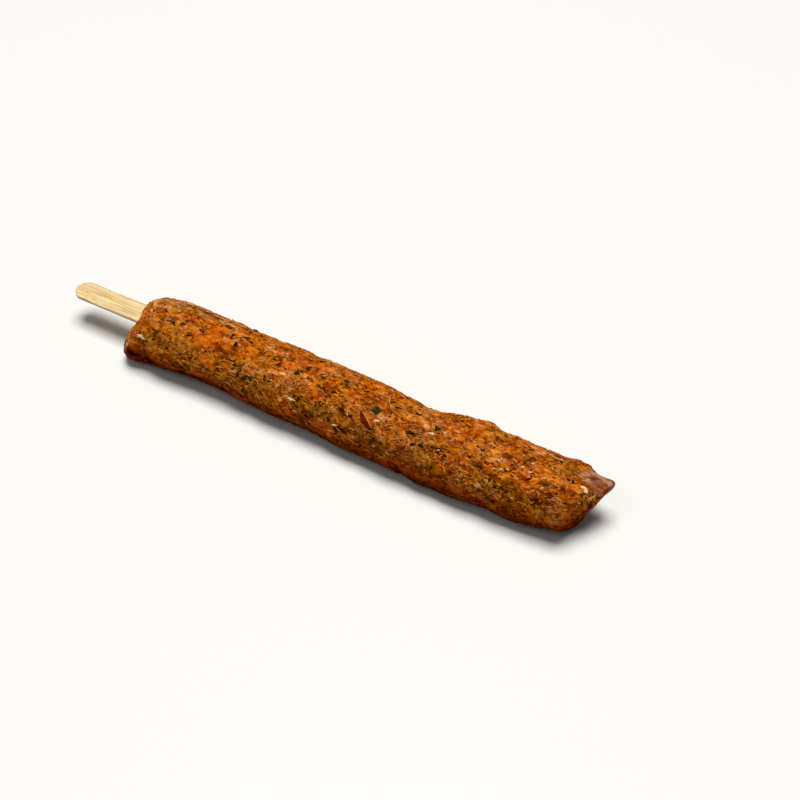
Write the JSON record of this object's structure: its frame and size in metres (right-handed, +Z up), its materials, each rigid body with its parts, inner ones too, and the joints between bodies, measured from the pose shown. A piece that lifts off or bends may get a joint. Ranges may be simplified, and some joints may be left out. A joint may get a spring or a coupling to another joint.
{
  "type": "kofta skewer",
  "caption": "Raw marinated minced-meat kofta pressed along a flat bamboo stick, lying ready for the grill.",
  "frame": {"origin": "on the surface it lies on, under the middle of the whole skewer's box", "axes": "+X along the skewer from the bare stick to the far end of the meat, +Y to the far side, +Z up"},
  "size_m": [0.2424, 0.0338, 0.0243],
  "materials": {
    "marinated_mince": "moist raw mince in an orange-brown spice marinade, with herb flakes, chilli, onion and fat showing",
    "bamboo": "bare split bamboo, pale cream with fine lengthwise fibres"
  },
  "bodies": {
    "root": {"kofta": "marinated_mince", "stick": "bamboo"}
  },
  "joints": []
}
